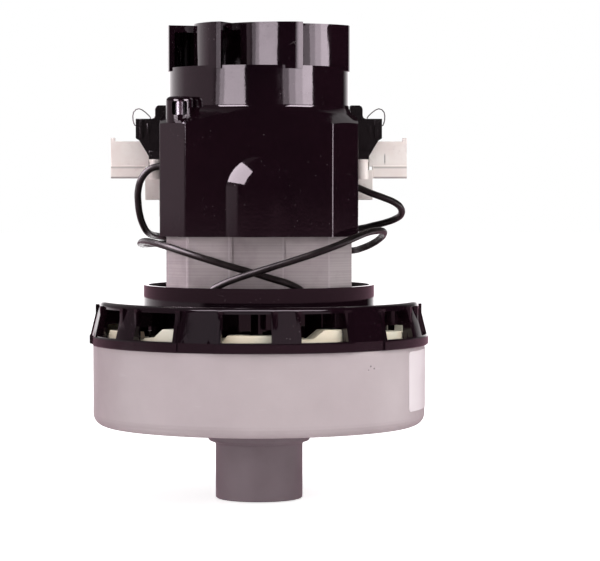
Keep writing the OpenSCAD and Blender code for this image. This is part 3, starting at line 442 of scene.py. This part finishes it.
def toObject(bm, name, slotName, smoothUnder=edgeSettings["smoothUnder"]):
    bmesh.ops.recalc_face_normals(bm, faces=bm.faces)
    for face in bm.faces:
        face.smooth = True
    for edge in bm.edges:
        edge.smooth = edge.calc_face_angle(math.pi) < math.radians(smoothUnder)
    mesh = bpy.data.meshes.new(name)
    bm.to_mesh(mesh)
    bm.free()
    made = bpy.data.objects.new(name, mesh)
    bpy.context.scene.collection.objects.link(made)
    mesh.materials.append(finishes[slotName])
    return made


def roundEdges(piece, width, flat):
    made = piece.modifiers.new("roundedEdges", "BEVEL")
    made.width = width * mm
    made.segments = edgeSettings["segments"]
    made.limit_method = "ANGLE"
    made.angle_limit = math.radians(edgeSettings["bevelOver"])
    made.use_clamp_overlap = True
    if flat:
        even = piece.modifiers.new("flatFaces", "WEIGHTED_NORMAL")
        even.keep_sharp = True
        even.weight = edgeSettings["faceWeight"]


def spinProfile(points, steps):
    bm = bmesh.new()
    ring = [bm.verts.new((r * mm, 0, z * mm)) for r, z in points]
    edges = [bm.edges.new((ring[i], ring[(i + 1) % len(ring)])) for i in range(len(ring))]
    bmesh.ops.spin(bm, geom=ring + edges, cent=(0, 0, 0), axis=(0, 0, 1), angle=2 * math.pi,
                   steps=steps, use_merge=True)
    bmesh.ops.remove_doubles(bm, verts=bm.verts, dist=edgeSettings["spinMerge"] * mm)
    return bm


def arc(centre, radius, start, end, steps):
    turns = [math.radians(start + (end - start) * i / steps) for i in range(steps + 1)]
    return [(centre[0] + radius * math.cos(turn), centre[1] + radius * math.sin(turn))
            for turn in turns]


def mergedCopy(nodeName):
    bm = bmesh.new()
    bm.from_mesh(nodes[nodeName].data)
    bmesh.ops.remove_doubles(bm, verts=bm.verts, dist=edgeSettings["mergeWithin"] * mm)
    bmesh.ops.dissolve_limit(bm, angle_limit=math.radians(edgeSettings["flatWithin"]),
                             verts=bm.verts, edges=bm.edges)
    return bm


def dressNode(nodeName, width, smoothUnder=edgeSettings["smoothUnder"], flat=True):
    slotName = next(part["material_slot"] for part in frame["record"]["subparts"]
                    if part["node"] == nodeName)
    piece = toObject(mergedCopy(nodeName), nodeName + "_skin", slotName, smoothUnder)
    if width:
        roundEdges(piece, width, flat)
    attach(piece, "root")
    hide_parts(nodeName)
    return piece


# Leads, from the brush gear round the stack to the sleeves inside the collar, in mm. The
# smooth curve is a little longer than the straight steps between its points.
leadSettings = {"diameter": 3.0, "curveGain": 0.7, "roundness": 5, "steps": 6}
leftRoute = [
    (-39, -16, 144.9), (-43, -16, 144.9), (-46.8, -16, 143.7), (-50.2, -15.6, 140.2),
    (-52, -14.2, 135), (-52.2, -11.5, 129.5), (-51.6, -7, 123.5), (-50.2, -0.5, 118.6),
    (-49, 7, 116.2), (-47.8, 15, 115), (-46.2, 23.5, 114.3), (-42.5, 32, 113.6),
    (-35.5, 38.7, 113.1), (-27, 41.8, 111.9), (-18, 41.8, 111.2), (-9, 41.5, 110.5),
    (0, 41.2, 109.8), (9, 41, 109), (18.3, 41.6, 108.3), (27.5, 40.8, 107.6),
    (35.8, 36.8, 107.2), (42.3, 29.5, 107.5), (46, 20.5, 108.8), (49.8, 12, 110.8),
    (52.8, 3.5, 113.2), (54.2, -5, 115.4), (53.5, -13.5, 116.9), (50.5, -22, 117.3),
    (46, -29.5, 116.6), (40.5, -36.5, 114.6), (33.5, -42, 111.7), (25, -45, 108.7),
    (16, -46, 105.7), (7, -46, 102.9), (-2.5, -45.5, 99.9), (-9.5, -44.8, 97.6),
    (-15.5, -43.5, 95.2), (-19.8, -42, 92.6), (-22.5, -40.3, 89.2), (-23.4, -39, 85),
    (-23.4, -39, 81.5)]
rightRoute = [
    (39, -9, 137.2), (43.5, -9, 135.5), (48.5, -9, 133.4), (54, -8.2, 131.4),
    (59, -5.5, 129.3), (62, -1, 126.8), (62.4, 4.5, 124), (60.3, 10.3, 122),
    (56.3, 15.8, 120.3), (51.3, 21.5, 118.9), (46.5, 28, 117.6), (41, 34.5, 116.8),
    (34, 40, 116.4), (26, 44.3, 116), (17.5, 47, 115.6), (8.5, 48.2, 115.2),
    (-0.5, 48.4, 114.7), (-9.5, 48, 114), (-18.5, 47, 113), (-27.5, 45.4, 111.8),
    (-36, 42.2, 110.8), (-43.5, 36.2, 110.5), (-48.5, 29, 110.5), (-51.3, 21, 110.5),
    (-52.2, 12.5, 110.9), (-51.8, 4, 111.6), (-50.5, -4.5, 112.3), (-48.5, -13, 112.6),
    (-45.5, -21.5, 112.3), (-41.3, -29.5, 111.4), (-36, -36.8, 110), (-29, -41.2, 107.8),
    (-20.5, -43, 105.2), (-12, -42.5, 102.6), (-3, -41.2, 100), (5.5, -40.8, 97.4),
    (13.5, -41.2, 94.8), (19, -41, 91.6), (22.5, -39.8, 88), (23.4, -39, 84.5),
    (23.4, -39, 81.5)]


def makeLead(name, nodeName, route, s):
    curve = bpy.data.curves.new(name, "CURVE")
    curve.dimensions = "3D"
    curve.bevel_depth = s["diameter"] / 2 * mm
    curve.bevel_resolution = s["roundness"]
    curve.resolution_u = s["steps"]
    curve.use_fill_caps = True
    line = curve.splines.new("BEZIER")
    line.bezier_points.add(len(route) - 1)
    for point, place in zip(line.bezier_points, route):
        point.co = Vector(place) * mm
        point.handle_left_type = point.handle_right_type = "AUTO"
    lead = bpy.data.objects.new(name, curve)
    bpy.context.scene.collection.objects.link(lead)
    curve.materials.append(finishes["lead_insulation"])
    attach(lead, "root")
    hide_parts(nodeName)


makeLead("leftLead", "left_lead", leftRoute, leadSettings)
makeLead("rightLead", "right_lead", rightRoute, leadSettings)
print("leads laid")

# Mouldings and metal that keep the frame's own shape, with softened edges, widths in mm
shroudSkin = dressNode("motor_shroud", 0.35)
dressNode("vent_cap", 0.3, flat=False)
bracketSkin = dressNode("fan_bracket", 0.2, smoothUnder=18)
edgeWidths = {"left_brush_insulator": 0.25, "right_brush_insulator": 0.25,
              "discharge_diffuser": 0.2, "left_brush_tube": 0.12, "right_brush_tube": 0.12,
              "left_brush_clamp": 0.15, "right_brush_clamp": 0.15, "left_terminal_post": 0.2,
              "right_terminal_post": 0.2, "through_bolts": 0.3}
ownFinishes = {"brush_insulator": blockFinish, "brush_tube": tubeSheetFinish}
for nodeName, width in edgeWidths.items():
    skin = dressNode(nodeName, width)
    for kind, finish in ownFinishes.items():
        if nodeName.endswith(kind):
            skin.data.materials[0] = finish
print("mouldings dressed")


def makeSpring(side):
    spring = dressNode(side + "_brush_spring", 0)
    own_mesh(spring)


makeSpring("left")
makeSpring("right")
print("springs set")

# Round topped bulges on the shroud's front and back, finer than the CAD's, in mm
bulgeSettings = {"halfWidth": 14.0, "out": 6.15, "face": 39.75, "low": 115.06, "centre": 135.0,
                 "domeStart": 0.4, "sunk": 0.3, "steps": 128, "rings": 32}


def makeBulge(name, s, side):
    radius = (s["halfWidth"] ** 2 + s["out"] ** 2) / (2 * s["out"])
    dome = arc((0, s["centre"]), radius, 0, 90, s["rings"])
    wall = [(0, s["low"]), (radius, s["low"]), (radius, s["centre"] - s["domeStart"])]
    bm = spinProfile(wall + dome, s["steps"])
    shift = radius - s["out"]  # the front of the turned shape is all that shows
    bmesh.ops.bisect_plane(bm, geom=bm.verts[:] + bm.edges[:] + bm.faces[:],
                           plane_co=(0, -(shift - s["sunk"]) * mm, 0), plane_no=(0, -1, 0),
                           clear_inner=True)
    bmesh.ops.holes_fill(bm, edges=[e for e in bm.edges if e.is_boundary], sides=0)
    bmesh.ops.translate(bm, verts=bm.verts, vec=(0, (shift - s["face"]) * mm, 0))
    if side > 0:
        bmesh.ops.rotate(bm, verts=bm.verts, cent=(0, 0, 0),
                         matrix=Matrix.Rotation(math.pi, 3, "Z"))
    bulge = toObject(bm, name, "black_moulding")
    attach(bulge, "root")
    return bulge


bulges = [makeBulge("front_bulge", bulgeSettings, -1), makeBulge("back_bulge", bulgeSettings, 1)]
print("bulges made")

# Blank film on the drum's side, with rounded corners, in mm and degrees
filmSettings = {"radius": 72.65, "from": -28.5, "to": 6.5, "low": 40.4, "high": 66.0,
                "corner": 1.8, "cornerTurn": 15, "columns": 24, "thick": 0.25}


def makeFilm(s):
    halfArc = math.radians(s["to"] - s["from"]) / 2 * s["radius"]
    middle = math.radians(s["from"] + s["to"]) / 2
    inner = halfArc - s["corner"]
    turns = [math.radians(a) for a in range(0, 91, s["cornerTurn"])]
    corner = [(inner + s["corner"] * math.sin(turn), s["corner"] * (1 - math.cos(turn)))
              for turn in turns]
    flat = [(inner * i / s["columns"], 0.0) for i in range(1 - s["columns"], s["columns"])]
    columns = [(-x, drop) for x, drop in reversed(corner)] + flat + corner
    bm = bmesh.new()
    pairs = []
    for along, drop in columns:
        angle = middle + along / s["radius"]
        spot = Vector((math.cos(angle), math.sin(angle), 0)) * s["radius"]
        pairs.append([bm.verts.new((spot + Vector((0, 0, z))) * mm)
                      for z in (s["low"] + drop, s["high"] - drop)])
    for a, b in zip(pairs, pairs[1:]):
        bm.faces.new((a[0], b[0], b[1], a[1]))
    film = toObject(bm, "shell_label_film", "label_white")
    sheet = film.modifiers.new("filmThickness", "SOLIDIFY")
    sheet.thickness = s["thick"] * mm
    sheet.offset = -1
    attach(film, "root")
    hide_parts("shell_label")


makeFilm(filmSettings)
print("film laid")

# Floor: white paper that keeps the shadow. In reflections it is a dim sheet with bright
# cards laid round the back half.
floorSettings = {"size": 12.0, "drop": 0.0005, "paper": 0.9, "rough": 0.9, "paperGlow": 0.75,
                 "shine": (0.39, 0.22, 0.28, 1), "cards": 3.2, "cardTurns": 4.0, "cardShift": 0.4,
                 "cardEdge": (0.25, 0.45), "cardsFrom": (0.28, 0.36), "cardsTo": (0.75, 0.95),
                 "backHalf": (100, 112)}


def floorCards(tree, s):
    place = addNode(tree, "ShaderNodeTexCoord").outputs["Object"]
    spot = addNode(tree, "ShaderNodeSeparateXYZ", None, {0: place})
    around = calc(tree, "ARCTAN2", spot.outputs["X"], spot.outputs["Y"])
    far = addNode(tree, "ShaderNodeVectorMath", {"operation": "LENGTH"},
                  {0: place}).outputs["Value"]
    turned = calc(tree, "ADD", calc(tree, "MULTIPLY", around, s["cardTurns"]), s["cardShift"])
    lobes = ramp(tree, calc(tree, "COSINE", turned), *s["cardEdge"])
    reach = calc(tree, "MULTIPLY", ramp(tree, far, *s["cardsFrom"]),
                 ramp(tree, far, *s["cardsTo"], 1, 0))
    start, end = (math.radians(angle) for angle in s["backHalf"])
    backHalf = ramp(tree, calc(tree, "ABSOLUTE", around), start, end, 1, 0)
    return calc(tree, "MULTIPLY", lobes, calc(tree, "MULTIPLY", reach, backHalf))


def makeFloor(s):
    bm = bmesh.new()
    bmesh.ops.create_grid(bm, x_segments=1, y_segments=1, size=s["size"] / 2)
    mesh = bpy.data.meshes.new("floor")
    bm.to_mesh(mesh)
    bm.free()
    floor = bpy.data.objects.new("floor", mesh)
    floor.location = (0, 0, -s["drop"])
    bpy.context.scene.collection.objects.link(floor)
    mat, tree, shader = startMaterial("floorPaper")
    shader.inputs["Base Color"].default_value = (s["paper"],) * 3 + (1,)
    shader.inputs["Roughness"].default_value = s["rough"]
    shader.inputs["Specular IOR Level"].default_value = 0.0
    glow = addNode(tree, "ShaderNodeEmission", None,
                   {"Color": (1, 1, 1, 1), "Strength": s["paperGlow"]})
    lit = addNode(tree, "ShaderNodeAddShader", None, {0: shader.outputs[0], 1: glow.outputs[0]})
    path = addNode(tree, "ShaderNodeLightPath")
    seen = addNode(tree, "ShaderNodeMixShader", None,
                   {0: path.outputs["Is Camera Ray"], 1: shader.outputs[0], 2: lit.outputs[0]})
    tint = mixColour(tree, floorCards(tree, s), s["shine"], (s["cards"],) * 3 + (1,))
    shine = addNode(tree, "ShaderNodeEmission", None, {"Color": tint, "Strength": 1.0})
    mirrored = addNode(tree, "ShaderNodeMixShader", None,
                       {0: path.outputs["Is Glossy Ray"], 1: seen.outputs[0], 2: shine.outputs[0]})
    plug(tree, tree.nodes["Material Output"].inputs["Surface"], mirrored.outputs[0])
    mesh.materials.append(mat)


# Sky: white to the camera, an even grey as light, and in reflections a dark front, a
# tinted left side and a bright back. Turns are in degrees from the front, heights are sines.
skySettings = {"light": 0.42, "front": 0.012, "frontTint": (1.0, 0.6, 0.8), "left": 0.66,
               "leftTint": (1.0, 0.76, 0.87), "leftEdge": (-62, -54), "back": 1.0,
               "backTint": (1.0, 0.95, 0.97), "backFromLeft": (-160, -110),
               "backFromRight": (138, 165), "high": (0.08, 0.22), "highLevel": 0.28,
               "glare": 0.9, "glareFrom": (0.0, 0.03), "glareTo": (0.10, 0.18)}


def makeSky(s):
    world = bpy.data.worlds.new("studio")
    bpy.context.scene.world = world
    world.use_nodes = True
    tree = world.node_tree
    tree.nodes.clear()
    direction = addNode(tree, "ShaderNodeTexCoord").outputs["Generated"]
    axes = addNode(tree, "ShaderNodeSeparateXYZ", None, {0: direction})
    up = axes.outputs["Z"]
    inward = calc(tree, "MULTIPLY", axes.outputs["Y"], -1.0)
    turn = calc(tree, "MULTIPLY", calc(tree, "ARCTAN2", axes.outputs["X"], inward), 180 / math.pi)
    leftSide = ramp(tree, turn, *s["leftEdge"], 1.0, 0.0)
    behind = calc(tree, "MAXIMUM", ramp(tree, turn, *s["backFromLeft"], 1.0, 0.0),
                  ramp(tree, turn, *s["backFromRight"]))
    high = ramp(tree, up, *s["high"], 1.0, s["highLevel"])
    low = calc(tree, "MULTIPLY", ramp(tree, up, *s["glareFrom"]),
               ramp(tree, up, *s["glareTo"], s["glare"], 0.0))
    back = calc(tree, "MULTIPLY", high, calc(tree, "ADD", low, s["back"]))
    frontSky = tuple(v * s["front"] for v in s["frontTint"]) + (1,)
    leftSky = tuple(v * s["left"] for v in s["leftTint"]) + (1,)
    backSky = addNode(tree, "ShaderNodeVectorMath", {"operation": "SCALE"},
                      {0: s["backTint"], "Scale": back}).outputs["Vector"]
    tinted = mixColour(tree, calc(tree, "MULTIPLY", leftSide, high), frontSky, leftSky)
    tinted = mixColour(tree, behind, tinted, backSky)
    path = addNode(tree, "ShaderNodeLightPath")
    shiny = mixColour(tree, path.outputs["Is Glossy Ray"], (s["light"],) * 3 + (1,), tinted)
    clear = calc(tree, "MAXIMUM", path.outputs["Is Camera Ray"],
                 path.outputs["Is Transmission Ray"])
    seen = mixColour(tree, clear, shiny, (1, 1, 1, 1))
    sky = addNode(tree, "ShaderNodeBackground", None, {"Color": seen, "Strength": 1.0})
    out = addNode(tree, "ShaderNodeOutputWorld")
    plug(tree, out.inputs["Surface"], sky.outputs[0])


# Lamps: turn in degrees from the front, the rest in metres and watts. The far strips draw the
# streaks on the round mouldings, and the high one on the left is for the cap. The flares and
# the corner strip light only the shroud, the ring glow and edge bar only the bracket. The
# fills and the top box are soft light with no reflection.
lampAim = (0, 0, 0.12)
softTint = (1.0, 0.85, 0.95)
farStrip = {"height": 0.45, "away": 5.0, "size": (3.0, 0.32), "shows": "glossy", "tint": softTint,
            "lights": "mainPieces"}
shroudStrip = dict(farStrip, lights="shroudOnly")
lamps = {
    "leftStripWide": dict(farStrip, turn=-36.6, size=(3.5, 0.32), power=8.3),
    "leftStripMiddle": dict(farStrip, turn=-34, size=(3.0, 0.32), power=9.9),
    "leftStripCore": dict(farStrip, turn=-30.8, size=(2.4, 0.32), power=9.1),
    "leftFlare": dict(shroudStrip, turn=-36, height=2.6, size=(3.4, 2.4), power=400.0),
    "leftHigh": {"turn": -74, "height": 0.72, "away": 0.8, "size": (1.5, 0.8), "power": 47.0,
                 "shows": "glossy", "tint": softTint, "lights": "roundPieces"},
    "rightStripWide": dict(farStrip, turn=50.9, size=(3.8, 0.32), power=9.2),
    "rightStripMiddle": dict(farStrip, turn=55, size=(3.0, 0.32), power=10.8),
    "rightStripInner": dict(farStrip, turn=59.3, size=(2.2, 0.32), power=6.6),
    "rightStripCore": dict(farStrip, turn=64.3, size=(1.3, 0.32), power=3.9),
    "rightFlare": dict(shroudStrip, turn=57, height=2.6, size=(3.4, 2.4), power=400.0),
    "cornerStrip": dict(shroudStrip, turn=42, height=0.09, size=(3.4, 0.36), power=30.0),
    "ringGlow": dict(farStrip, turn=0, height=0.85, away=2.0, size=(5.0, 0.8), power=6.0,
                     lights="bracketOnly"),
    "edgeBar": dict(farStrip, turn=0, height=2.5, away=1.2, size=(4.0, 0.9), power=70.0,
                    lights="bracketOnly"),
    "leftFill": {"turn": -50, "height": 0.2, "away": 1.1, "size": (0.8, 0.4), "power": 2.4,
                 "shows": "diffuse", "tint": (1, 1, 1)},
    "rightFill": {"turn": 50, "height": 0.85, "away": 1.0, "size": (0.8, 0.8), "power": 8.6,
                  "shows": "diffuse", "tint": (1, 1, 1)},
    "topBox": {"turn": 0, "height": 1.3, "away": 0.25, "size": (0.9, 0.9), "power": 4.4,
               "shows": "diffuse", "tint": (1, 1, 1)},
}


def lightGroup(name, pieces, state):
    group = bpy.data.collections.new(name)
    for piece in pieces:
        group.objects.link(piece)
    for entry in group.collection_objects:
        entry.light_linking.link_state = state
    return group


def makeLamp(name, s, groups):
    data = bpy.data.lights.new(name, "AREA")
    data.shape = "RECTANGLE"
    data.size, data.size_y = s["size"]
    data.energy = s["power"]
    data.color = s["tint"]
    lamp = bpy.data.objects.new(name, data)
    turn = math.radians(s["turn"])
    lamp.location = (math.sin(turn) * s["away"], -math.cos(turn) * s["away"], s["height"])
    aim = Vector(lampAim) - lamp.location
    lamp.rotation_euler = aim.to_track_quat("-Z", "Y").to_euler()
    lamp.visible_camera = False
    lamp.visible_glossy = s["shows"] == "glossy"
    lamp.visible_diffuse = s["shows"] == "diffuse"
    bpy.context.scene.collection.objects.link(lamp)
    if "lights" in s:
        lamp.light_linking.receiver_collection = groups[s["lights"]]


makeFloor(floorSettings)
makeSky(skySettings)
litGroups = {"mainPieces": lightGroup("mainPieces", bulges + [bracketSkin], "EXCLUDE"),
             "roundPieces": lightGroup("roundPieces", [shroudSkin, bracketSkin], "EXCLUDE"),
             "shroudOnly": lightGroup("shroudOnly", [shroudSkin], "INCLUDE"),
             "bracketOnly": lightGroup("bracketOnly", [bracketSkin], "INCLUDE")}
for lampName, settings in lamps.items():
    makeLamp(lampName, settings, litGroups)
bpy.context.scene.view_settings.view_transform = "Standard"
print("stage lit")
